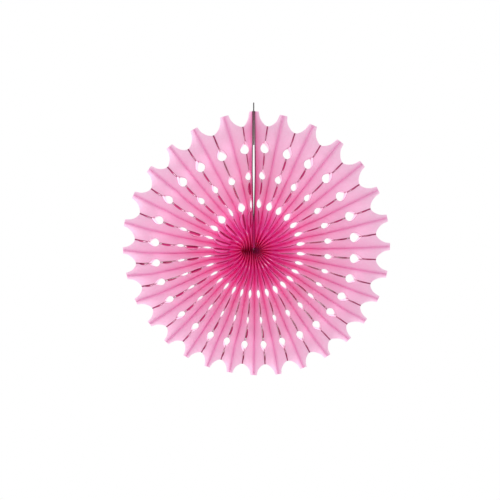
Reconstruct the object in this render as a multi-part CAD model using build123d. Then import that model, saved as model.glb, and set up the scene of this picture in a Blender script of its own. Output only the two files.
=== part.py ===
from build123d import *
import math
import os

# A hanging rosette of honeycomb tissue. Sixty die-cut strips are glued in pairs along their long
# edges, which makes thirty hollow cells, and each cell is glued to the next along its middle line.
# Opened right round, the pad becomes a disc whose two cover boards meet at the top, where the
# hanging string comes out. The disc faces -Y and hangs in the XZ plane, and the origin is the
# upper end of the string.

# Overall size
fan_radius = 198.0  # mean radius of the ring of tips
strip_width = 50.0  # width of a strip, which is the rosette's depth from front to back
cell_count = 30

# How the soft pad sags: its hub hangs below the ring's middle and its lower cells close up
hub_drop = 9.8
hub_shift = 3.4
sag_deg = 4.68
lean_deg = 0.78

# Tissue
sheet_thickness = 0.3
glue_band = 1.0
hub_radius = 4.0
pinch_clearance = 0.05
scallop_depth = 21.6
tip_width = 9.0  # of a strip laid flat
arc_steps = 3  # straight stretches in half a scallop

# Where facets bend, as shares of the way from hub to tip: at the boards' own bends beside the seam
seam_shares = (0.0, 0.21, 0.56, 1.0)
plain_shares = (0.0, 0.5, 1.0)

# Die-cut holes in three rings: the size of the half hole that is cut from a strip's edge, its
# reach as a share of the strip's length, and its share of the rim's sag
outer_hole_length = 18.0
outer_hole_depth = 9.6
middle_hole_length = 14.5
middle_hole_depth = 7.2
inner_hole_length = 15.0
inner_hole_depth = 9.0
outer_reach_share = 0.748
middle_reach_share = 0.551
inner_reach_share = 0.347
outer_sag_share = 0.54
middle_sag_share = 0.36
inner_sag_share = 0.25
# Half a hole's outline: how far along its length and how deep, from its blunt inner end
hole_outline_shares = ((0.0, 0.0), (0.2, 0.84), (0.6, 0.92), (1.0, 0.0))

# Cover boards: they touch up to the first bend, bow apart and close on the string at the tip
board_thickness = 1.2
bow_gap = 3.2

# Hanging string
string_diameter = 1.8
string_stub = 13.0
string_tail = 50.0

# All cuts run past the solid that they cut by this much
overrun = 6.0

rings = (
    (outer_reach_share, outer_sag_share, outer_hole_length, outer_hole_depth),
    (middle_reach_share, middle_sag_share, middle_hole_length, middle_hole_depth),
    (inner_reach_share, inner_sag_share, inner_hole_length, inner_hole_depth),
)
tip_gap = string_diameter
board_gaps = (0.0, 0.0, bow_gap, tip_gap)


def ring_radius(share, sag_share, turn):
    """Distance from the hub to a ring of holes or the rim, in a direction clockwise from the top."""
    return fan_radius * share + (hub_drop * math.cos(turn) + hub_shift * math.sin(turn)) * sag_share


def rim_radius(turn):
    """Distance from the hub to the ring of tips."""
    return ring_radius(1.0, 1.0, turn)


top_reach = rim_radius(0.0)
hub_z = -(top_reach + string_stub)


def polar(radius, turn):
    """A point of the disc's middle plane, by its distance from the hub and its turn from the top."""
    return Vector(radius * math.sin(turn), 0.0, hub_z + radius * math.cos(turn))


def tip_turn(index):
    """Turn of a tip line: even steps, closed up towards the bottom by the sag."""
    even = 2 * math.pi * index / cell_count
    sag = math.radians(sag_deg) * math.sin(even)
    lean = math.radians(lean_deg) * (math.cos(even) - 1)
    return even + sag + lean


def root_turn(index):
    """Turn of a line's inner end on the hub circle, where the two boards take their own room."""
    board_half = math.asin(board_thickness / hub_radius)
    return board_half + (2 * math.pi - 2 * board_half) * index / cell_count


def board_line(side, inner):
    """Points of a board's inner or outer face from hub to tip, on the right for side 1."""
    root_height = math.sqrt(hub_radius**2 - board_thickness**2)
    points = []
    for share, gap in zip(seam_shares, board_gaps):
        x = gap / 2 + (0.0 if inner else board_thickness)
        height = root_height + (top_reach - root_height) * share
        points.append(Vector(side * x, 0.0, hub_z + height))
    return points


def glue_line(index, shares):
    """Points of the line where two cells meet, or where the first and last meet a board."""
    if index == 0:
        return board_line(1, inner=False)
    if index == cell_count:
        return board_line(-1, inner=False)
    turn = tip_turn(index)
    root = polar(hub_radius, root_turn(index))
    tip = polar(rim_radius(turn), turn)
    return [root + (tip - root) * share for share in shares]


def extended(points):
    """The same line with its outer end carried on past the tip, for cutting back."""
    run = (points[-1] - points[-2]).normalized()
    return points[:-1] + [points[-1] + run * overrun]


def faceted_loft(sections):
    """A solid through polygons of equal count, with flat triangles between one and the next."""
    count = len(sections[0])
    faces = [Face(Wire.make_polygon(sections[0])), Face(Wire.make_polygon(sections[-1]))]
    for near, far in zip(sections, sections[1:]):
        for i in range(count):
            j = (i + 1) % count
            # The diagonal runs from the edge at the hub to the middle line at the rim
            if abs(near[i].Y) > abs(near[j].Y):
                triangles = ((near[i], near[j], far[j]), (near[i], far[j], far[i]))
            else:
                triangles = ((near[i], near[j], far[i]), (near[j], far[j], far[i]))
            faces += [Face(Wire.make_polygon(corners)) for corners in triangles]
    return Solid(Shell(faces))


def edge_offset(half, inset):
    """From the middle plane to a strip's edge, which comes in as the strip leans to span its cell."""
    lean = math.atan2(half, strip_width / 2)
    return Vector(0, 1, 0) * (strip_width / 2 * math.cos(lean) - inset)


def cell_section(left, right):
    """A cell's outer outline across the strips: pinched front and back, with glued flats beside."""
    middle = (left + right) / 2
    edge = edge_offset((right - left).length / 2, 0.0)
    flat = Vector(0, 1, 0) * glue_band / 2
    return [middle - edge, right - flat, right + flat, middle + edge, left + flat, left - flat]


def cavity_section(left, right):
    """The hollow between a cell's two strips, which are glued together near both edges."""
    across = (right - left).normalized()
    half = (right - left).length / 2
    middle = (left + right) / 2
    edge = edge_offset(half, glue_band)
    wall = sheet_thickness * math.hypot(1, half / (strip_width / 2))
    reach = across * max(half - wall, pinch_clearance)
    return [middle - edge, middle + reach, middle + edge, middle - reach]


def through_cut(points):
    """A prism through the whole depth, from an outline in the disc's plane."""
    back = Vector(0, strip_width / 2 + overrun, 0)
    return extrude(Face(Wire.make_polygon([p - back for p in points])), amount=2 * back.Y, dir=(0, 1, 0))


def hole_points(start, along, across, length, depth):
    """Outline of a whole hole about its own axis, blunt end first."""
    side = [start + along * length * s + across * depth * d for s, d in hole_outline_shares]
    other = [start + along * length * s - across * depth * d for s, d in hole_outline_shares[1:-1]]
    return side + other[::-1]


def scallop_points(left, right, bottom_radius):
    """The end of a cell seen from the front: two blunt tips and the concave arc between them."""
    across = right - left
    start = left + across / 2 * tip_width / strip_width
    middle = (left + right) / 2
    hub = polar(0.0, 0.0)
    sink = (hub - middle).normalized() * ((middle - hub).length - bottom_radius)
    arc = []
    for i in range(2 * arc_steps + 1):
        turn = math.pi / 2 * (i / arc_steps - 1)
        arc.append(middle + sink * math.cos(turn) + (middle - start) * math.sin(turn))
    return [left] + arc + [right]


def make_cell(index):
    """One cell: two die-cut strips glued together along their front and back edges."""
    shares = seam_shares if index in (0, cell_count - 1) else plain_shares
    left, right = glue_line(index, shares), glue_line(index + 1, shares)
    long_left, long_right = extended(left), extended(right)
    outer = faceted_loft([cell_section(a, b) for a, b in zip(long_left, long_right)])
    hollow = faceted_loft([cavity_section(a, b) for a, b in zip(extended(long_left), extended(long_right))])

    root, tip = (left[0] + right[0]) / 2, (left[-1] + right[-1]) / 2
    along = (tip - root).normalized()
    across = along.cross(Vector(0, 1, 0))
    reach = (tip - polar(0.0, 0.0)).length
    middle_turn = (tip_turn(index) + tip_turn(index + 1)) / 2
    local_radius = rim_radius(middle_turn)
    cuts = [hollow]
    for share, sag_share, length, depth in rings:
        radius = ring_radius(share, sag_share, middle_turn)
        spread = (right[-1] - left[-1]).length / 2 * radius / reach
        start = polar(0.0, 0.0) + along * (radius - length / 2)
        cuts.append(through_cut(hole_points(start, along, across, length, depth * spread / (strip_width / 2))))

    end = scallop_points(left[-1], right[-1], local_radius - scallop_depth)
    sideways = (right[-1] - left[-1]).normalized() * overrun
    outward = along * (scallop_depth + 2 * overrun)
    beyond = [end[0] - sideways] + end + [end[-1] + sideways]
    beyond += [end[-1] + sideways + outward, end[0] - sideways + outward]
    cuts.append(through_cut(beyond))
    return outer - cuts


def board_outline():
    """A board laid flat, front edge at -Y: the same die cut as the strips, as a face to extrude."""
    edge = strip_width / 2
    points = []
    for sign in (-1, 1):
        side = [(sign * edge, 0.0)]
        for share, sag_share, length, depth in reversed(rings):
            start = ring_radius(share, sag_share, 0.0) - length / 2
            side += [(sign * (edge - depth * d), start + length * s) for s, d in hole_outline_shares]
        for i in range(arc_steps + 1):
            s = i / arc_steps
            y = edge - (edge - tip_width / 2) * s
            rise = scallop_depth * (1 - math.sqrt(1 - s**2))
            side.append((sign * y, top_reach - scallop_depth + rise))
        points += side if sign < 0 else side[::-1]
    return [Vector(0.0, y, hub_z + height) for y, height in points]


def make_board(side):
    """A cover board: a slightly bowed strip of card with the strips' outline."""
    profile = board_line(side, inner=True) + board_line(side, inner=False)[::-1]
    back = Vector(0, strip_width / 2, 0)
    plate = extrude(Face(Wire.make_polygon([p - back for p in profile])), amount=strip_width, dir=(0, 1, 0))
    start = Vector(-(bow_gap + board_thickness), 0, 0)
    outline = Face(Wire.make_polygon([p + start for p in board_outline()]))
    return plate & extrude(outline, amount=-2 * start.X, dir=(1, 0, 0))


def make_string():
    """The string: a straight round cord, its tail glued between the tips of the two boards."""
    length = string_stub + string_tail
    return Pos(0, 0, -length) * extrude(Circle(string_diameter / 2), amount=length)


def main():
    os.makedirs("parts", exist_ok=True)
    nodes = {f"tissue_cell_{i + 1:02d}": make_cell(i) for i in range(cell_count)}
    nodes["cover_board_right"] = make_board(1)
    nodes["cover_board_left"] = make_board(-1)
    nodes["hanging_string"] = make_string()
    for name, shape in nodes.items():
        shape.label = name
        export_step(shape, f"parts/{name}.step")


main()
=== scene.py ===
# %% [markdown]
# # A hanging rosette of honeycomb tissue
# Sixty thin die-cut strips are glued in pairs along their long edges and then pair to pair along
# their middle lines, so that the pad opens like an accordion into thirty hollow cells. Two strips
# of card close the ring at the top and hold a short string. The solids already give every piece
# its size and place, so this script only makes them soft: each faceted cell is replaced by two
# curved sheets, the string by twisted strands, and the card gets its finish.

# %% Load the frame
import math

import bpy
import numpy as np
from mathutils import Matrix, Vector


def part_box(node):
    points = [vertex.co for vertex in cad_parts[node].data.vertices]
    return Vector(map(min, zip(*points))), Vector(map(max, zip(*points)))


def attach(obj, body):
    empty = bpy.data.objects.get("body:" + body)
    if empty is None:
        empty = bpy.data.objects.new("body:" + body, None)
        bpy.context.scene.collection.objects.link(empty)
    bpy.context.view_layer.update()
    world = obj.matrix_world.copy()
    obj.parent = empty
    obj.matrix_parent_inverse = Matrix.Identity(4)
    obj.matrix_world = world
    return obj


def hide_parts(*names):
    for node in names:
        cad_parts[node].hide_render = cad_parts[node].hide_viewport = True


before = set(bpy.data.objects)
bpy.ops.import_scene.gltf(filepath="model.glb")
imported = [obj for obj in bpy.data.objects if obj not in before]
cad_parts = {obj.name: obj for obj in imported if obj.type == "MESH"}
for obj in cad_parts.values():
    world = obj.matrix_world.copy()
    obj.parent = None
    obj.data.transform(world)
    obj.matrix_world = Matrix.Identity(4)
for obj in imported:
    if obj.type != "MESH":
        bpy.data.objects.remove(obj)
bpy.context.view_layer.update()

# %% [markdown]
# ## Sizes
# Metres, in the frame of the solids: the disc hangs in the XZ plane, faces -Y, and the string's
# upper end is the origin. What the boxes of the solids can tell is read from them, and the rest is
# the short list of dimensions that the pad was drawn with. Curved paper needs slightly other sizes
# than flat facets for its tips, scallops and holes, so that both show the same outline.

# %% Sizes of the pad
MM = 0.001
cell_count = 30
fan_radius = 198 * MM
hub_drop = 9.8 * MM
hub_shift = 3.4 * MM
sag_deg = 4.68
lean_deg = 0.78
scallop_depth = 20.6 * MM
scallop_power = 1.75  # between a round shoulder at 2 and a straight one at 1
tip_width = 13.5 * MM
sheet_thickness = 0.1 * MM
sheet_gap = sheet_thickness / 2

board_low, board_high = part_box("cover_board_right")
half_strip = (board_high[1] - board_low[1]) / 2
top_reach = fan_radius + hub_drop
hub_z = board_high[2] - top_reach
board_thickness = 1.2 * MM
bow_gap = 3.2 * MM
string_diameter = 1.8 * MM
seam_bend_shares = (0.0, 0.21, 0.56, 1.0)
seam_gaps = (0.0, 0.0, bow_gap, string_diameter)

# Rings of holes: centre as a share of the strip, then length and depth of the half hole
hole_rings = (
    (0.749, 18 * MM, 9.8 * MM),
    (0.552, 14.5 * MM, 7.2 * MM),
    (0.347, 15 * MM, 9.0 * MM),
    (0.145, 9 * MM, 3.0 * MM),
)
print("hub at z", round(hub_z, 4), "half strip", round(half_strip, 4))

# %% [markdown]
# ## Helpers for the finishes
# Every surface here is paper, card or twine, and each gets its finish from a few shader nodes: a
# ramp of colours, a noise for the fibres and a matt shader. These helpers make and link them.


# %% Node helpers
def node(tree, kind, **values):
    """A node with its properties set, and its inputs where a name is one."""
    made = tree.nodes.new(kind)
    for name, value in values.items():
        label = name.replace("_", " ")
        if hasattr(made, name):
            setattr(made, name, value)
        else:
            made.inputs[label].default_value = value
    return made


def new_material(material):
    """Clear a material's nodes; gives its node tree and its output."""
    material.use_nodes = True
    material.node_tree.nodes.clear()
    return material.node_tree, material.node_tree.nodes.new("ShaderNodeOutputMaterial")


def ramp(tree, value, stops):
    """The colour that a value has on a ramp of (place, colour) stops."""
    made = tree.nodes.new("ShaderNodeValToRGB")
    while len(made.color_ramp.elements) < len(stops):
        made.color_ramp.elements.new(0.5)
    for element, (place, colour) in zip(made.color_ramp.elements, stops):
        element.position = place
        element.color = (*colour, 1)
    tree.links.new(value, made.inputs["Fac"])
    return made.outputs["Color"]


def spread(tree, value, start, end, low=0.0, high=1.0):
    """A value that goes from low to high while another goes from start to end."""
    made = node(tree, "ShaderNodeMapRange", From_Min=start, From_Max=end, To_Min=low, To_Max=high)
    tree.links.new(value, made.inputs["Value"])
    return made.outputs[0]


def product(tree, first, second):
    """Two values or colours multiplied."""
    made = node(tree, "ShaderNodeVectorMath", operation="MULTIPLY")
    tree.links.new(first, made.inputs[0])
    tree.links.new(second, made.inputs[1])
    return made.outputs[0]


def laid_over(tree, amount, under, over):
    """One colour laid over another by an amount from 0 to 1."""
    made = node(tree, "ShaderNodeMix", data_type="RGBA")
    tree.links.new(amount, made.inputs[0])
    for colour, socket in ((under, made.inputs[6]), (over, made.inputs[7])):
        if isinstance(colour, tuple):
            socket.default_value = (*colour, 1)
        else:
            tree.links.new(colour, socket)
    return made.outputs[2]


def matt(tree, colour, height, roughness, shine, strength, depth):
    """A matt shader with a colour and a fine relief."""
    relief = node(tree, "ShaderNodeBump", Strength=strength, Distance=depth)
    tree.links.new(height, relief.inputs["Height"])
    face = node(tree, "ShaderNodeBsdfPrincipled", Roughness=roughness, Specular_IOR_Level=shine)
    tree.links.new(colour, face.inputs["Base Color"])
    tree.links.new(relief.outputs[0], face.inputs["Normal"])
    return face.outputs[0]


print("helpers ready")

# %% [markdown]
# ## Camera
# The photograph looks straight at the disc from about one and a half metres, so the holes of the
# back layer show a little nearer the middle than those in front. The camera stands almost level
# with the hub and points along +Y.

# %% Camera
image_size = 500
hub_pixel = (253.7, 250.8)
camera_distance = 1.43
pixels_per_metre = 671.0
focal_pixels = pixels_per_metre * camera_distance

camera_data = bpy.data.cameras.new("camera")
camera_data.sensor_width = 36.0
camera_data.lens = camera_data.sensor_width * focal_pixels / image_size
camera = bpy.data.objects.new("camera", camera_data)
camera.location = (
    (image_size / 2 - hub_pixel[0]) / pixels_per_metre,
    -camera_distance,
    hub_z + (hub_pixel[1] - image_size / 2) / pixels_per_metre,
)
camera.rotation_euler = (math.pi / 2, 0, 0)
bpy.context.scene.collection.objects.link(camera)
bpy.context.scene.camera = camera
print("lens", round(camera_data.lens, 1), "mm")

# %% [markdown]
# ## String
# The string is a short dark twine of three strands, glued by its tail between the tips of the two
# boards. Its line is a curve through the same points as its solid, and the strands are wound about
# points read from that curve, so they would follow it if it were ever bent.

# %% The string's line
line_steps = 80
string_low, string_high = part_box("hanging_string")
string_length = string_high[2] - string_low[2]
route = [(0, 0, string_low[2]), (0, 0, string_low[2] + string_length / 2), (0, 0, string_high[2])]
line = bpy.data.curves.new("string_line", "CURVE")
line.dimensions = "3D"
line.resolution_u = line_steps
spline = line.splines.new("NURBS")
spline.points.add(len(route) - 1)
for point, place in zip(spline.points, route):
    point.co = (*place, 1)
spline.order_u = 3
spline.use_endpoint_u = True
line_object = bpy.data.objects.new("string_line", line)
bpy.context.scene.collection.objects.link(line_object)
bpy.context.view_layer.update()
line_mesh = bpy.data.meshes.new_from_object(line_object)
centre = np.array([v.co[:] for v in line_mesh.vertices])
bpy.data.objects.remove(line_object)
print("string", round(string_length, 4), "m,", len(centre), "points")

# %% Three strands
strand_share = 0.232  # three round strands that touch fill a circle when each is this thick
strand_radius = string_diameter * strand_share
wind_radius = string_diameter / 2 - strand_radius
lay_length = 5.5 * MM


def strand_points(phase):
    """Points of one strand, wound about the points of the string's line."""
    run = np.gradient(centre, axis=0)
    run /= np.linalg.norm(run, axis=1)[:, None]
    steps = np.linalg.norm(np.diff(centre, axis=0), axis=1)
    turn = phase + 2 * math.pi * np.concatenate(([0], np.cumsum(steps))) / lay_length
    right = np.cross(run, (0, 1, 0))
    back = np.cross(run, right)
    return centre + wind_radius * (right * np.cos(turn)[:, None] + back * np.sin(turn)[:, None])


strand_count = 3
strands = []
bpy.ops.object.select_all(action="DESELECT")
for strand in range(strand_count):
    curve = bpy.data.curves.new(f"strand_{strand}", "CURVE")
    curve.dimensions = "3D"
    curve.bevel_depth = strand_radius
    curve.bevel_resolution = 3
    curve.use_fill_caps = True
    wound = strand_points(2 * math.pi * strand / strand_count)
    path = curve.splines.new("POLY")
    path.points.add(len(wound) - 1)
    for point, place in zip(path.points, wound):
        point.co = (*place, 1)
    made = bpy.data.objects.new(f"strand_{strand}", curve)
    bpy.context.scene.collection.objects.link(made)
    made.select_set(True)
    strands.append(made)
bpy.context.view_layer.objects.active = strands[0]
bpy.ops.object.convert(target="MESH")
bpy.ops.object.join()
twine = bpy.context.object
twine.name = twine.data.name = "twisted_string"
bpy.ops.object.select_all(action="DESELECT")
print("strands:", len(twine.data.polygons), "faces")

# %% Twine finish
glued_tail = (0.30, 0.13, 0.20)
dark_thread = (0.02, 0.018, 0.02)
worn_thread = (0.07, 0.06, 0.065)
twine_material = bpy.data.materials.new("dark_twine")
tree, output = new_material(twine_material)
place = node(tree, "ShaderNodeTexCoord")
height = node(tree, "ShaderNodeSeparateXYZ")
tree.links.new(place.outputs["Object"], height.inputs[0])
fuzz = node(tree, "ShaderNodeTexNoise", Scale=2500.0, Detail=3.0)
tree.links.new(place.outputs["Object"], fuzz.inputs["Vector"])
thread = ramp(tree, fuzz.outputs["Fac"], ((0.3, dark_thread), (0.75, worn_thread)))
in_glue = spread(tree, height.outputs["Z"], board_high[2], board_high[2] - 2 * MM)
thread = laid_over(tree, in_glue, thread, glued_tail)
twine_face = matt(tree, thread, fuzz.outputs["Fac"], 0.9, 0.2, 0.5, 0.2 * MM)
tree.links.new(twine_face, output.inputs["Surface"])
twine.data.materials.clear()
twine.data.materials.append(twine_material)
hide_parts("hanging_string")
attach(twine, "root")

# %% [markdown]
# ## Where the strips meet
# Every strip is glued along its middle to a strip of the next cell. These lines run from the hub
# to the tips. A soft pad sags, so its hub hangs below the middle of the ring, the lower cells
# close up, and each direction is drawn out or in by a few millimetres. The hub itself isn't a
# point: the strips' inner ends are pressed flat into a short level line. The first and the last
# glue line follow the two cover boards, which bow apart a little.

# %% Sag of the pad
# Turn in degrees clockwise from the top, then the draw in millimetres at the holes and at the rim
draw_right = (
    (0, 0, 0),
    (15, -0.7, -2.2),
    (45, 0.6, 0.7),
    (70, 1.4, 1.2),
    (100, 1.6, 1.5),
    (120, 1.4, 1.2),
    (140, -0.1, 0),
    (165, -1.2, -1.5),
)
draw_left = (
    (185, -1.5, -4.0),
    (207, 0, -0.7),
    (229, 1.4, 0),
    (258, 2.1, 0),
    (275, 2.1, 0),
    (288, 1.5, 0.5),
    (301, -0.6, -3.0),
    (315, -2.4, -3.6),
    (335, -3.4, -3.3),
    (348, -2.5, -1.5),
    (360, 0, 0),
)
draw_turns, draw_at_holes, draw_at_rim = zip(*draw_right, *draw_left)
draw_shares = (0, 0.3, 0.8, 1)  # the hub, the first and last holes, and the rim
hub_half_right = 6 * MM
hub_half_left = 19 * MM
hub_half_height = -0.4 * MM  # less than nothing: the heap overlaps, so no daylight shows
hub_ease = 0.16


def reach_to(along, turn):
    """Distance from the hub at a share of the strip: the further out, the more off centre."""
    shift = (hub_drop * math.cos(turn) + hub_shift * math.sin(turn)) * along
    degrees = math.degrees(turn)
    holes = np.interp(degrees, draw_turns, draw_at_holes) * MM
    rim = np.interp(degrees, draw_turns, draw_at_rim) * MM
    draw = np.interp(along, draw_shares, (0, holes, holes, rim))
    off_centre = 0.9 - 1.2 * along + 1.3 * along**2  # 0.9 at the hub, 1 at the rim
    return fan_radius * along + shift * off_centre + draw


print("drawn at the rim by", min(draw_at_rim), "to", max(draw_at_rim), "mm")


# %% Lines from hub to tip
# The tissue beside a board is pressed into the card at the hub
hub_press = 0.03
hub_press_shares = (0.019875, 0.0805)


def tip_turn(index):
    """Turn of a tip line from the top: even steps, closed up towards the bottom."""
    even = 2 * math.pi * index / cell_count
    sag = math.radians(sag_deg) * math.sin(even)
    return even + sag + math.radians(lean_deg) * (math.cos(even) - 1)


def glue_line(index, along):
    """X and height above the hub of a glue line, at each share of the way from hub to tip."""
    if index in (0, cell_count):
        side = 1 if index == 0 else -1
        gap = np.interp(along, seam_bend_shares, seam_gaps)
        pressed = np.interp(along, hub_press_shares, (hub_press, 1))
        return side * (gap / 2 + board_thickness * pressed), along * top_reach
    turn = tip_turn(index)
    reach = reach_to(along, turn)
    ease = np.clip(1 - along / hub_ease, 0, 1) ** 2
    hub_half = hub_half_right if math.sin(turn) > 0 else hub_half_left
    x = np.sin(turn) * (reach + hub_half * ease)
    return x, np.cos(turn) * (reach + hub_half_height * ease)


print("tips at", [round(math.degrees(tip_turn(i))) for i in range(0, cell_count, 5)], "degrees")

# %% [markdown]
# ## A strip laid flat
# Before it is folded, a strip is a long rectangle with half holes bitten out of both edges and a
# blunt tip with hollow shoulders. A grid of faces follows that outline exactly if each row is as
# wide as the paper is there, so no cutting is needed: the rows only have to lie close together
# where the outline turns quickly. The die cuts every strip alike, but the pad hangs open more in
# some places than in others, and there its holes look wider.


# %% Rows of a strip
row_spacing = 4.5 * MM
shoulder_rows = 13
# Shares of a hole's length, close together at its blunt end
hole_steps = np.array((0, 0.012, 0.05, 0.12, 0.22, 0.34, 0.48, 0.62, 0.76, 0.89, 1.0))


def strip_rows():
    """Shares of the way from hub to tip at which a strip has a row of points."""
    rows = [0.0]
    spans = [(0.0, 0.0)]
    for share, size, _ in reversed(hole_rings):
        start = share * fan_radius - size / 2
        spans.append((start, start + size))
        rows += list((start + size * hole_steps) / fan_radius)
    shoulder = 1 - scallop_depth / fan_radius
    spans.append((shoulder * fan_radius, fan_radius))
    for (_, end), (start, _) in zip(spans, spans[1:]):
        count = max(2, round((start - end) / row_spacing))
        rows += list(np.linspace(end / fan_radius, start / fan_radius, count + 1)[1:-1])
    across = np.linspace(0, 1, shoulder_rows)
    shoulder_rise = (1 - across**scallop_power) ** (1 / scallop_power)
    rows += list(1 - scallop_depth / fan_radius * shoulder_rise)
    return np.unique(np.round(rows, 6))


rows = strip_rows()
print("rows in a strip:", len(rows))

# %% Outline of a strip
# Turn in degrees, then how far the holes of each ring stand open there, from the rim inwards
opening_right = (
    (0, 1.25, 1.7, 1.45, 0),
    (20, 1.04, 1.5, 1.6, 0.7),
    (45, 1.08, 1.32, 1.5, 0.7),
    (70, 1.2, 1.35, 1.12, 0),
    (95, 1.2, 1.35, 1.15, 0),
    (120, 1.15, 0.95, 1.06, 0.9),
    (150, 1.0, 1.15, 1.32, 1.0),
    (175, 0.9, 0.8, 1.1, 0),
)
opening_left = (
    (200, 1.05, 0.65, 0.95, 0.8),
    (230, 0.86, 0.74, 0.85, 0),
    (260, 1.02, 0.7, 0.7, 0),
    (285, 1.04, 0.84, 0.62, 0),
    (301, 0.92, 0.86, 1.25, 1.0),
    (313, 1.08, 1.28, 1.85, 1.0),
    (328, 1.1, 1.2, 0.8, 0),
    (343, 1.02, 1.38, 1.9, 1.0),
    (356, 1.4, 1.9, 0.95, 0),
)
opening_turns, *opening_by_ring = zip(*opening_right, *opening_left)
fullness, blunt_power, point_power = 2.8, 0.6, 0.95


def hole_profile(t):
    """Depth of a half hole as a share, from its blunt inner end at 0 to its point at 1."""
    t = np.clip(t, 0, 1)
    return fullness * t**blunt_power * (1 - t) ** point_power


def half_width(degrees):
    """How far the paper of a cell at this turn reaches from its middle line, at each row."""
    width = np.full(len(rows), half_strip)
    for (share, size, depth), openings in zip(hole_rings, opening_by_ring):
        opening = np.interp(degrees, opening_turns, openings)
        width -= opening * depth * hole_profile((rows - share) * fan_radius / size + 0.5)
    below_tip = np.clip((1 - rows) * fan_radius / scallop_depth, 0, 1)
    hollow = (1 - below_tip**scallop_power) ** (1 / scallop_power)
    shoulder = half_strip - (half_strip - tip_width / 2) * hollow
    return np.where(below_tip < 1, shoulder, width)


print("narrowest place between holes:", round(half_width(45).min() / MM, 1), "mm")

# %% [markdown]
# ## How the tissue moves
# Tissue has no stiffness to speak of, so nothing on the rosette is quite straight. Four things are
# added to the folded shape: the pleats swing sideways together, the front edges lean against the
# back ones, the slits between the spots of glue gape by different amounts, and the sheets carry
# fine wrinkles that run along them. A cloth simulation would give some such shape, but not this
# one. So the first three are short tables that go round the disc by turn, in degrees clockwise
# from the top, and the wrinkles are a sum of a few waves.

# %% Swing of the pleats
# Turn, then the bow near the hub, then the swing at the inner, middle and outer holes and the tip
swing_right = (
    (0, 0, 0, 0, 0, 0),
    (7, 1.2, -1.5, -1.1, -1.3, -0.5),
    (15, 2.2, 0, -0.4, -0.6, -0.7),
    (60, 2.4, -0.3, 0.5, 0.3, 0.3),
    (100, 1.2, -0.3, 0.6, 0.6, 0.3),
    (135, 0.6, -1.1, -0.6, -0.2, -1.2),
    (165, -0.4, 0.8, 1.1, 0.7, 1.2),
)
swing_left = (
    (190, -1.2, 1.0, 0.8, 1.9, 1.8),
    (215, -1.8, 0.4, 0.1, 0.3, 0.7),
    (240, -2.4, -0.5, -0.8, -0.7, 0),
    (258, -2.8, -0.3, -1.6, -1.4, 0.3),
    (275, -3.4, -2.9, -2.8, -2.1, -0.8),
    (295, -3.6, -2.3, -1.7, -0.9, -0.6),
    (306, -4.6, -1.9, -1.8, -0.5, -0.2),
    (318, -0.8, 0.3, -0.6, -0.3, 0),
    (340, -1.6, 3.6, 1.6, 0.6, -0.3),
    (352, -1.0, 5.3, 4.3, 2.8, 1.3),
    (360, 0, 0, 0, 0, 0),
)
swing_turns, bow_by_turn, *swing_by_ring = zip(*swing_right, *swing_left)
ring_shares = (0.0, 0.1, 0.35, 0.56, 0.76, 1.0)  # still at the first two
bow_from, bow_to = 0.06, 0.32
bow_power = 1.5


def soft_steps(x, places, values):
    """A line through the values that leaves each of them level."""
    right = np.clip(np.searchsorted(places, x, side="right"), 1, len(places) - 1)
    low, high = np.take(places, right - 1), np.take(places, right)
    t = (x - low) / (high - low)
    t = t * t * (3 - 2 * t)
    return np.take(values, right - 1) * (1 - t) + np.take(values, right) * t


def swing(turn):
    """Sideways swing of the pleats in radians: as they hang, and bowed between hub and holes."""
    degrees = math.degrees(turn)
    values = [0, 0] + [np.interp(degrees, swing_turns, ring) for ring in swing_by_ring]
    bow = np.interp(degrees, swing_turns, bow_by_turn)
    bowed = np.sin(math.pi * np.clip((rows - bow_from) / (bow_to - bow_from), 0, 1)) ** bow_power
    return np.radians(soft_steps(rows, ring_shares, values) + bow * bowed)


widest = max(abs(swing(tip_turn(index))).max() for index in range(cell_count))
print("widest swing:", round(math.degrees(widest), 1), "degrees")

# %% Lean of the front edges against the back ones
# Turn and lean, both in degrees
lean_right = ((0, 0.2), (20, 0.5), (45, 0.4), (70, 0.1), (95, -0.2), (120, 0.2), (150, 0.1))
lean_left = ((190, 0.2), (230, -0.2), (260, 0.3), (285, -0.2), (315, -0.4), (335, -0.5))
lean_turns, lean_by_turn = zip(*lean_right, *lean_left, (345, 0.3), (360, 0.2))


def lean(turn):
    """How far the front edges lean round the disc, in radians; the back edges lean against them."""
    return math.radians(np.interp(math.degrees(turn), lean_turns, lean_by_turn))


print("lean at the top:", round(math.degrees(lean(0)), 1), "degrees")

# %% Gape of the slits
# Turn in degrees, then how far the slits gape in millimetres, from the hub's outwards
gape_right = (
    (0, 0, 1.6, 2.2, 1.0, 0.8),
    (20, 0, 1.4, 3.6, 2.0, 0.6),
    (45, 0, 1.2, 1.8, 1.2, 0.7),
    (90, 0, 1.0, 1.4, 1.0, 0.7),
    (150, 0, 1.0, 1.6, 1.2, 0.6),
)
gape_left = (
    (195, 0, 1.2, 1.5, 2.6, 1.6),
    (225, 0, 1.8, 1.5, 1.8, 0.8),
    (250, 0, 2.8, 3.0, 2.4, 1.6),
    (272, 0, 5.5, 4.4, 2.4, 2.2),
    (285, 0, 8.0, 7.0, 2.0, 0.9),
    (298, 0, 9.0, 4.8, 1.8, 1.0),
    (312, 0, 6.0, 2.6, 2.4, 0.9),
    (326, 0, 2.0, 2.8, 1.6, 0.9),
    (340, 0, 9.0, 2.0, 1.0, 0.6),
    (353, 0, 8.5, 5.0, 0.6, 0.6),
    (360, 0, 1.0, 2.0, 0.6, 0.6),
)
gape_turns, *gape_by_slit = zip(*gape_right, *gape_left)
# Where each slit starts and ends, as shares: at the hub's glue, beside the holes, near the rim
glue_spots = [0.03]
for share, size, _ in reversed(hole_rings):
    glue_spots += [share - size / fan_radius / 2, share + size / fan_radius / 2]
glue_spots.append(0.872)
slit_starts, slit_ends = glue_spots[::2], glue_spots[1::2]
slit_power = 0.8


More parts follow.
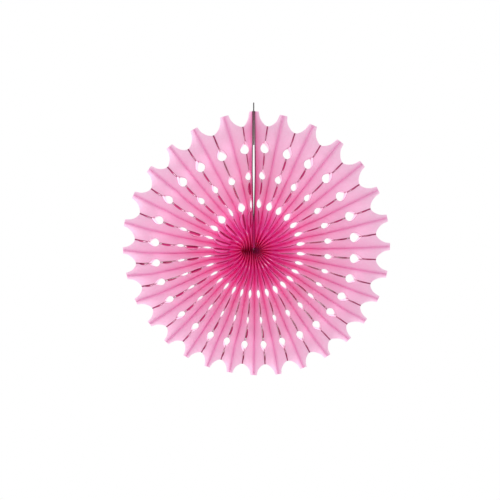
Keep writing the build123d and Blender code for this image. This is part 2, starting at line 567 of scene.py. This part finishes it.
def gape(openings):
    """Width of the slits between the glue spots beside the holes, at each row."""
    total = np.zeros_like(rows)
    for opening, start, end in zip(openings, slit_starts, slit_ends):
        t = np.clip((rows - start) / (end - start), 0, 1)
        total += opening * np.sin(math.pi * t) ** slit_power
    return total


print("slits from", [round(s, 2) for s in slit_starts], "to", [round(s, 2) for s in slit_ends])


# %% Wrinkles
wave_count = 7


def wrinkle(across, seed):
    """Fine wrinkles that run along the strip, as an offset for each row and column."""
    pattern = np.random.default_rng(seed)
    total = np.zeros((len(rows), len(across)))
    for _ in range(wave_count):
        along_waves, across_waves = pattern.uniform(1.5, 9), pattern.uniform(2, 7)
        phase, bend = pattern.uniform(0, 2 * math.pi, 2)
        wave = across[None, :] * across_waves + np.sin(rows * along_waves * 2 + bend)[:, None]
        total += np.sin(2 * math.pi * wave + phase) / (1 + across_waves)
    return total


tallest = abs(wrinkle(np.linspace(-1, 1, 19), 7)).max()
print("wrinkles up to", round(tallest, 2), "of their scale")

# %% [markdown]
# ## Folding a strip
# The grid starts as a primitive laid flat, as the paper would lie on a bench. Its points are then
# moved to where the glue holds them: the middle line to its glue line, both edges to the ridge of
# the cell, and what lies between along a soft S, because the glue makes neighbouring sheets leave
# it side by side. A formula does this in one step, where bending by hand would need thirty
# different folds.

# %% How a strip leaves its glue
columns = 18
straight_share = 0.72  # of the way across, and the rest follows a soft S
gape_power = 4  # so that only the paper near the edge gives way
wrinkle_scale = 0.3 * MM
loose_from, loose_to = 0.1, 0.35  # between these shares the wrinkles grow to their full height
side_crease, depth_crease = 3, 0.5


def across_cell(fold):
    """Share of the way from a glue line to the ridge, where fold goes from the line to the edge."""
    return straight_share * fold + (1 - straight_share) * fold * fold * (3 - 2 * fold)


def crease_strip(index, side, share):
    """Height of a strip's wrinkles, which fade towards the hub."""
    loose = np.clip((rows - loose_from) / (loose_to - loose_from), 0, 1)[:, None]
    return wrinkle_scale * wrinkle(share, 100 * index + side + 7) * loose


def glue_to_ridge(index, side):
    """A strip's own glue line, the way from it to the ridge of its cell, and how far that is."""
    own = np.array(glue_line(index + (side > 0), rows))
    other = np.array(glue_line(index + (side < 0), rows))
    way = (own + other) / 2 - own
    half = np.hypot(*way)
    return own, way / half, half


print("half way out, the paper is", round(across_cell(0.5), 2), "of the way across")


# %% Fold one strip
def fold_strip(index, side, front_gape, back_gape):
    """One strip of a cell: side 1 is glued to the next cell, side -1 to the one before."""
    turn = (tip_turn(index) + tip_turn(index + 1)) / 2
    share = np.linspace(-1, 1, columns + 1)
    q = half_width(math.degrees(turn))[:, None] * share[None, :] / half_strip
    fold, front = np.abs(q), share[None, :] < 0

    glue, way, half = glue_to_ridge(index, side)
    depth = half_strip * np.cos(np.arctan2(half, half_strip))
    open_by = np.where(front, front_gape[:, None], back_gape[:, None]) * fold**gape_power
    crease = crease_strip(index, side, share)
    reach = np.maximum(half[:, None], sheet_gap)
    lateral = sheet_gap + across_cell(fold) * (reach - sheet_gap) - open_by
    lateral = np.clip(lateral + crease * fold * (1 - fold) * side_crease, sheet_gap, None)
    x, z = (start[:, None] + run[:, None] * lateral for start, run in zip(glue, way))
    y = np.sign(q) * depth[:, None] * fold + crease * depth_crease

    at_glue, at_slit = swing(tip_turn(index + (side > 0)))[:, None], swing(turn)[:, None]
    angle = at_glue + (at_slit - at_glue) * across_cell(fold)
    angle += np.where(front, lean(turn), -lean(turn)) * fold
    x, z = x * np.cos(angle) + z * np.sin(angle), z * np.cos(angle) - x * np.sin(angle)
    return np.stack([x, y, z + hub_z], axis=-1), q


print("points in a strip:", len(rows) * (columns + 1))

# %% [markdown]
# ## Laying the strips
# Each strip is a primitive grid moved to the folded points. It keeps two maps for the finish: one
# says how far a point is from the hub and how far across the paper, the other how near it is to
# the cut edge. The grid's own faces look into the cell, and the paper's thickness adds those that
# look out of it. The two sides get their own materials, since the inside carries painted shade
# behind the slits and painted light round the holes.

# %% Lay one strip
outer_face = bpy.data.materials.new("dyed_tissue_painted_shade")
inner_face = bpy.data.materials.new("tissue_inside")


def lay_strip(name, side, points, q):
    """A primitive grid moved to a strip's points, with its maps."""
    bpy.ops.mesh.primitive_grid_add(x_subdivisions=columns, y_subdivisions=len(rows) - 1, size=1)
    strip = bpy.context.object
    strip.name = name
    strip.data.vertices.foreach_set("co", points.reshape(-1))
    corners = np.empty(len(strip.data.loops), dtype=int)
    strip.data.loops.foreach_get("vertex_index", corners)
    along = np.repeat(rows, columns + 1)
    near_cut = np.tile(np.abs(np.linspace(-1, 1, columns + 1)), len(rows))
    place = np.stack([along, 0.5 + 0.5 * q.reshape(-1)], axis=-1)
    cut = np.stack([near_cut, along], axis=-1)
    strip.data.uv_layers[0].name = "place"
    strip.data.uv_layers.new(name="cut")
    for layer, chart in zip(strip.data.uv_layers, (place, cut)):
        layer.data.foreach_set("uv", chart[corners].reshape(-1).astype(np.float32))
    if side > 0:
        strip.data.flip_normals()
    strip.data.materials.append(inner_face)
    strip.data.materials.append(outer_face)
    return strip


print("materials for a strip:", outer_face.name, inner_face.name)

# %% [markdown]
# ## Two strips make a cell
# In the photograph the slits show deep paper behind them and no daylight. So a slit gapes to one
# side in front and to the other at the back, and behind a wide one the back stays shut. Which of
# the two strips gives way changes over at the lower right. The two sheets are then joined into one
# piece, and a Solidify gives them the paper's thickness, since a sheet without one has no edge.

# %% Gape of a cell's slits
stiff_gape = 3.5 * MM  # past this, the other strip gives way too
yield_share = 0.6
turn_of_change = 115
chance = np.random.default_rng(12)


def slits_of(index):
    """How a cell's slits gape: the wider side in front, the other side there, and at the back."""
    turn = math.degrees(tip_turn(index) + tip_turn(index + 1)) / 2
    wide = np.array([np.interp(turn, gape_turns, slit) for slit in gape_by_slit]) * MM
    wide *= chance.uniform(0.75, 1.25, len(wide))
    yielding = yield_share * np.clip(wide - stiff_gape, 0, None)
    narrow = np.where(yielding > 0, 0, chance.uniform(0.2, 0.8, len(wide)) * MM)
    narrow[0] = 0
    return wide, yielding, narrow, 1 if turn < turn_of_change else -1


print("a slit in front gapes up to", max(max(slit) for slit in gape_by_slit), "mm")


# %% Join two strips
def make_cell(index, strips):
    """Join a cell's two strips and give them the paper's thickness."""
    for strip in strips:
        strip.select_set(True)
    bpy.context.view_layer.objects.active = strips[0]
    bpy.ops.object.join()
    cell = bpy.context.object
    cell.name = cell.data.name = f"tissue_pleat_{index + 1:02d}"
    paper = cell.modifiers.new("paper", "SOLIDIFY")
    paper.thickness = sheet_thickness
    paper.offset = 0
    paper.material_offset = 1
    bpy.ops.object.modifier_apply(modifier=paper.name)
    bpy.ops.object.shade_smooth_by_angle(angle=math.radians(50))
    bpy.ops.object.select_all(action="DESELECT")
    return cell


print("paper", round(sheet_thickness / MM, 2), "mm thick")

# %% Make the thirty cells
cells = []
bpy.ops.object.select_all(action="DESELECT")
for index in range(cell_count):
    wide, yielding, narrow, gaping_side = slits_of(index)
    strips = []
    for side in (-1, 1):
        front = gape(wide if side == gaping_side else yielding)
        back = gape(narrow if side != gaping_side else 0 * narrow)
        points, q = fold_strip(index, side, front, back)
        strips.append(lay_strip(f"strip_{index}_{side}", side, points, q))
    cell = make_cell(index, strips)
    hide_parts(f"tissue_cell_{index + 1:02d}")
    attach(cell, "root")
    cells.append(cell)
print(len(cells), "cells,", sum(len(cell.data.polygons) for cell in cells), "faces")

# %% [markdown]
# ## The finish of the tissue
# The real tissue is one even pale pink. The heart of the rosette looks deep because the strips
# stand so close there that light is coloured again each time it goes through or off one of them.
# So the colour here is the pale dye over most of the strip, and towards the hub it is deepened and
# darkened by painted shade, which stands in for passes too many to trace. A matt shader is mixed
# with a translucent one, since more than half of the light goes through such thin paper.

# %% Colours of the tissue
# Pale pink dye over most of the strip; the deeper, darker stops towards the hub are painted shade.
dye_with_painted_hub_shade = (
    (0.0, (0.78, 0.05, 0.36)),
    (0.03, (0.97, 0.18, 0.68)),
    (0.07, (1.0, 0.38, 0.88)),
    (0.15, (0.999, 0.50, 0.93)),
    (0.25, (0.996, 0.62, 0.91)),
    (0.34, (0.99, 0.735, 0.905)),
    (0.5, (0.97, 0.79, 0.905)),
    (1.0, (0.932, 0.80, 0.89)),
)
# Painted shade inside the cells, behind the slits.
painted_shade_inside = (0.64, 0.09, 0.28)
# Painted light inside the cells, round the holes.
painted_light_inside = (0.99, 0.93, 0.97)
# Painted shade: the dark edges along the slits, outside and inside.
painted_slit_shade = (0.52, 0.10, 0.26)
# Painted shade round the rims of the holes.
painted_hole_rim_shade = (0.66, 0.28, 0.46)
# Painted shade in the middle crease.
painted_crease_shade = (0.94, 0.74, 0.86)
# Painted shade on the ridges near the hub.
painted_ridge_shade_at_hub = (0.99, 0.5, 0.68)
white, black = (1, 1, 1), (0, 0, 0)
# Shares of the strip beside each ring of holes, with a short step in and out
hole_bands = [(0.295, black), (0.31, white), (0.41, white), (0.425, black)]
hole_bands += [(0.505, black), (0.52, white), (0.62, white), (0.635, black)]
hole_bands += [(0.70, black), (0.715, white), (0.84, white), (0.855, black)]
# Round the holes the inner face lets more light through: painted light there.
through_share, through_at_holes = 0.6, 0.92
print("dye at the rim", dye_with_painted_hub_shade[-1][1], "and at the hub", dye_with_painted_hub_shade[0][1])


# %% The strip's own maps
def strip_maps(tree):
    """The strip's map, then how far along, how far across and how near the cut edge a point is."""
    place = node(tree, "ShaderNodeUVMap", uv_map="place")
    cut = node(tree, "ShaderNodeUVMap", uv_map="cut")
    parts = []
    for chart in (place, cut):
        split = node(tree, "ShaderNodeSeparateXYZ")
        tree.links.new(chart.outputs["UV"], split.inputs[0])
        parts.append(split)
    return place.outputs["UV"], parts[0].outputs["X"], parts[0].outputs["Y"], parts[1].outputs["X"]


print("maps of a strip:", [layer.name for layer in cells[0].data.uv_layers])


# %% Fibres and clouds
fibre_stretch = (6, 40, 1)  # waves along and across the strip
streak_tint = (1.0, 0.95, 0.975)
cloud_tint = (0.995, 0.945, 0.96)


def paper_grain(tree, place):
    """Height of the fibres, and how much they and the clouds tint the paper."""
    stretch = node(tree, "ShaderNodeMapping")
    stretch.inputs["Scale"].default_value = fibre_stretch
    tree.links.new(place, stretch.inputs["Vector"])
    fibres = node(tree, "ShaderNodeTexNoise", Scale=3.0, Detail=5.0, Roughness=0.6)
    tree.links.new(stretch.outputs[0], fibres.inputs["Vector"])
    where = node(tree, "ShaderNodeTexCoord")
    clouds = node(tree, "ShaderNodeTexNoise", Scale=380.0, Detail=3.0, Roughness=0.6)
    tree.links.new(where.outputs["Object"], clouds.inputs["Vector"])
    streaks = ramp(tree, fibres.outputs["Fac"], ((0.3, streak_tint), (0.7, white)))
    patches = ramp(tree, clouds.outputs["Fac"], ((0.35, cloud_tint), (0.65, white)))
    return fibres.outputs["Fac"], product(tree, streaks, patches)


print("grain: fibres along the strip, clouds of about 3 mm")


# %% Outside of a cell
# Stops across a strip, from its front edge at 0 over its glued middle to its back edge at 1:
# painted shade along the slits at both edges and in the middle crease
front_edge_shade = ((0.0, painted_slit_shade), (0.016, painted_slit_shade), (0.038, white))
middle_crease_shade = ((0.38, white), (0.5, painted_crease_shade), (0.62, white))
back_edge_shade = ((0.962, white), (0.984, painted_slit_shade), (1.0, painted_slit_shade))
front_ridge_shade = ((0.0, painted_ridge_shade_at_hub), (0.04, painted_ridge_shade_at_hub), (0.16, white))
back_ridge_shade = ((0.84, white), (0.96, painted_ridge_shade_at_hub))
hub_tones_end = (0.1, 0.32)  # between these shares the hub's tones give way to the others
hole_rim_shade = ((0.96, white), (0.985, painted_hole_rim_shade))


def outer_tones(tree, colour, along, across, cut):
    """Painted shade at the slits, the folded line, round the holes and on the ridges at the hub."""
    glued = product(tree, colour, ramp(tree, across, front_edge_shade + middle_crease_shade + back_edge_shade))
    rimmed = ramp(tree, cut, hole_rim_shade)
    bands = ramp(tree, along, hole_bands)
    glued = laid_over(tree, bands, glued, product(tree, glued, rimmed))
    ridge_shaded_at_hub = product(tree, colour, ramp(tree, across, front_ridge_shade + back_ridge_shade))
    return laid_over(tree, spread(tree, along, *hub_tones_end), ridge_shaded_at_hub, glued)


print("tones outside: glued edges, folded line, rims of the holes, ridges at the hub")

# %% Inside of a cell
# Painted shade along the slit edges inside the cells.
inner_edge_shade = ((0.015, painted_slit_shade), (0.04, white), (0.96, white), (0.985, painted_slit_shade))
# Where the painted shade and the painted light come in, first as shares of the way out and then
# of the way across to the back
painted_shade_starts, painted_shade_back, painted_light_back = (0.12, 0.18), (0.79, 0.86), (0.6, 0.66)


def inner_tones(tree, colour, along, across):
    """Painted light round the holes, where daylight comes in, and painted shade behind the slits;
    and how much painted light.
    """
    bands = ramp(tree, along, hole_bands)
    off_bands = ramp(tree, bands, ((0.0, white), (1.0, black)))
    between = product(tree, off_bands, spread(tree, along, *painted_shade_starts))
    painted_shade_behind_slits = product(tree, between, spread(tree, across, *painted_shade_back))
    painted_light_round_holes = product(tree, bands, spread(tree, across, *painted_light_back))
    colour = laid_over(tree, painted_shade_behind_slits, colour, painted_shade_inside)
    edge_shaded = product(tree, colour, ramp(tree, across, inner_edge_shade))
    colour = laid_over(tree, between, colour, edge_shaded)
    return laid_over(tree, painted_light_round_holes, colour, painted_light_inside), painted_light_round_holes


print("tones inside: deep behind the slits, pale round the holes")


# %% Tissue
def dye_and_shade_tissue(material, inside):
    """Thin dyed paper, matt and translucent, its colour with painted shade and painted light."""
    tree, output = new_material(material)
    place, along, across, cut = strip_maps(tree)
    height, grain = paper_grain(tree, place)
    colour = product(tree, ramp(tree, along, dye_with_painted_hub_shade), grain)
    through = node(tree, "ShaderNodeMixShader")
    through.inputs["Fac"].default_value = through_share
    if inside:
        colour, painted_light_round_holes = inner_tones(tree, colour, along, across)
        share = spread(tree, painted_light_round_holes, 0, 1, through_share, through_at_holes)
        tree.links.new(share, through.inputs["Fac"])
    else:
        colour = outer_tones(tree, colour, along, across, cut)
    glow = node(tree, "ShaderNodeBsdfTranslucent")
    tree.links.new(colour, glow.inputs["Color"])
    shine = 0.0 if inside else 0.02
    paper = matt(tree, colour, height, 0.9, shine, 0.35, 0.6 * MM)
    tree.links.new(paper, through.inputs[1])
    tree.links.new(glow.outputs[0], through.inputs[2])
    tree.links.new(through.outputs[0], output.inputs["Surface"])


dye_and_shade_tissue(outer_face, inside=False)
dye_and_shade_tissue(inner_face, inside=True)
print("dyed", len(cells), "cells")

# %% [markdown]
# ## Card
# The cover boards keep their solids. Each is card with tissue pasted on its faces, so the faces
# are pink and only the bare cut edge shows, fibrous and darkened by painted shade, and in the heart
# turned red by a painted reflection of the tissue round it. The edge is told from the faces by the
# way it looks: a board's flat faces look sideways, its long edges to the front and back.

# %% Card finish
pasted_tissue = (0.93, 0.55, 0.74)
# The cut edge's own fibres, darkened by painted shade.
card_edge_dark_painted_shade = (0.05, 0.006, 0.018)
card_edge_pale_painted_shade = (0.10, 0.02, 0.045)
# Painted pink reflection of the tissue round the edge in the heart.
painted_pink_reflection_at_heart = (0.34, 0.015, 0.10)
heart_low, heart_high = 38 * MM, 52 * MM  # above the hub
looks_sideways = (0.6, 0.7)  # X of the normal, from a cut edge to a face
card = bpy.data.materials.new("edge_of_card")
tree, output = new_material(card)
place = node(tree, "ShaderNodeTexCoord")
speckle = node(tree, "ShaderNodeTexNoise", Scale=900.0, Detail=4.0, Roughness=0.7)
tree.links.new(place.outputs["Object"], speckle.inputs["Vector"])
looks = node(tree, "ShaderNodeSeparateXYZ")
tree.links.new(place.outputs["Normal"], looks.inputs[0])
sideways = node(tree, "ShaderNodeMath", operation="ABSOLUTE")
tree.links.new(looks.outputs["X"], sideways.inputs[0])
bare_edge_painted_shade = ramp(tree, speckle.outputs["Fac"], ((0.3, card_edge_dark_painted_shade), (0.7, card_edge_pale_painted_shade)))
spot = node(tree, "ShaderNodeSeparateXYZ")
tree.links.new(place.outputs["Object"], spot.inputs[0])
reflection_in_heart = spread(tree, spot.outputs["Z"], hub_z + heart_high, hub_z + heart_low)
bare_edge_painted_shade = laid_over(tree, reflection_in_heart, bare_edge_painted_shade, painted_pink_reflection_at_heart)
on_faces = spread(tree, sideways.outputs[0], *looks_sideways)
card_colour = laid_over(tree, on_faces, bare_edge_painted_shade, pasted_tissue)
card_face = matt(tree, card_colour, speckle.outputs["Fac"], 0.9, 0.02, 0.2, 0.2 * MM)
tree.links.new(card_face, output.inputs["Surface"])
for name in ("cover_board_right", "cover_board_left"):
    board = bpy.data.objects[name]
    board.data.materials.clear()
    board.data.materials.append(card)
print("card on two boards")

# %% [markdown]
# ## Light and room
# The photograph has no hard shadow, so the world is an even white. Light has to be followed
# through many sheets before it comes out of the heart, which is why the number of bounces is high.
# A large soft lamp behind, low on the left, makes the tissue glow a little, and a faint one in
# front keeps the pleats from looking flat. The floor lies well below.

# %% World and bounces
world = bpy.data.worlds.new("white_room")
world.use_nodes = True
world.node_tree.nodes["Background"].inputs["Color"].default_value = (1, 1, 1, 1)
world.node_tree.nodes["Background"].inputs["Strength"].default_value = 1.0
bpy.context.scene.world = world
bpy.context.scene.view_settings.view_transform = "Standard"
sheets_passed = 40
light_paths = bpy.context.scene.cycles
light_paths.max_bounces = sheets_passed
light_paths.diffuse_bounces = sheets_passed // 2
light_paths.transmission_bounces = sheets_passed
print("bounces:", light_paths.max_bounces)


# %% Lamps
lamp_size = 1.2


def soft_lamp(name, power, location, tilt, pan):
    """A round soft lamp at a place, tilted and panned in degrees."""
    data = bpy.data.lights.new(name, "AREA")
    data.shape = "DISK"
    data.size = lamp_size
    data.energy = power
    lamp = bpy.data.objects.new(name, data)
    lamp.location = location
    lamp.rotation_euler = (math.radians(tilt), 0, math.radians(pan))
    bpy.context.scene.collection.objects.link(lamp)
    return lamp


front_lamp = soft_lamp("front_lamp", 1, (-0.35, -1.4, hub_z + 0.45), 73, -14)
back_lamp = soft_lamp("back_lamp", 20, (-0.5, 1.25, hub_z - 0.35), -105, 22)
print("lamps:", front_lamp.name, back_lamp.name)

# %% Floor
floor_z = hub_z - 0.55
floor_radius = 0.6
floor_grey = (0.9, 0.9, 0.9, 1)
bpy.ops.object.select_all(action="DESELECT")
bpy.ops.mesh.primitive_circle_add(vertices=96, radius=floor_radius, fill_type="NGON")
floor = bpy.context.object
floor.location = (0, 0, floor_z)
floor.name = "floor"
floor_material = bpy.data.materials.new("white_floor")
tree, output = new_material(floor_material)
floor_face = node(tree, "ShaderNodeBsdfPrincipled", Roughness=0.9)
floor_face.inputs["Base Color"].default_value = floor_grey
tree.links.new(floor_face.outputs[0], output.inputs["Surface"])
floor.data.materials.append(floor_material)
print("floor at z", round(floor_z, 2))
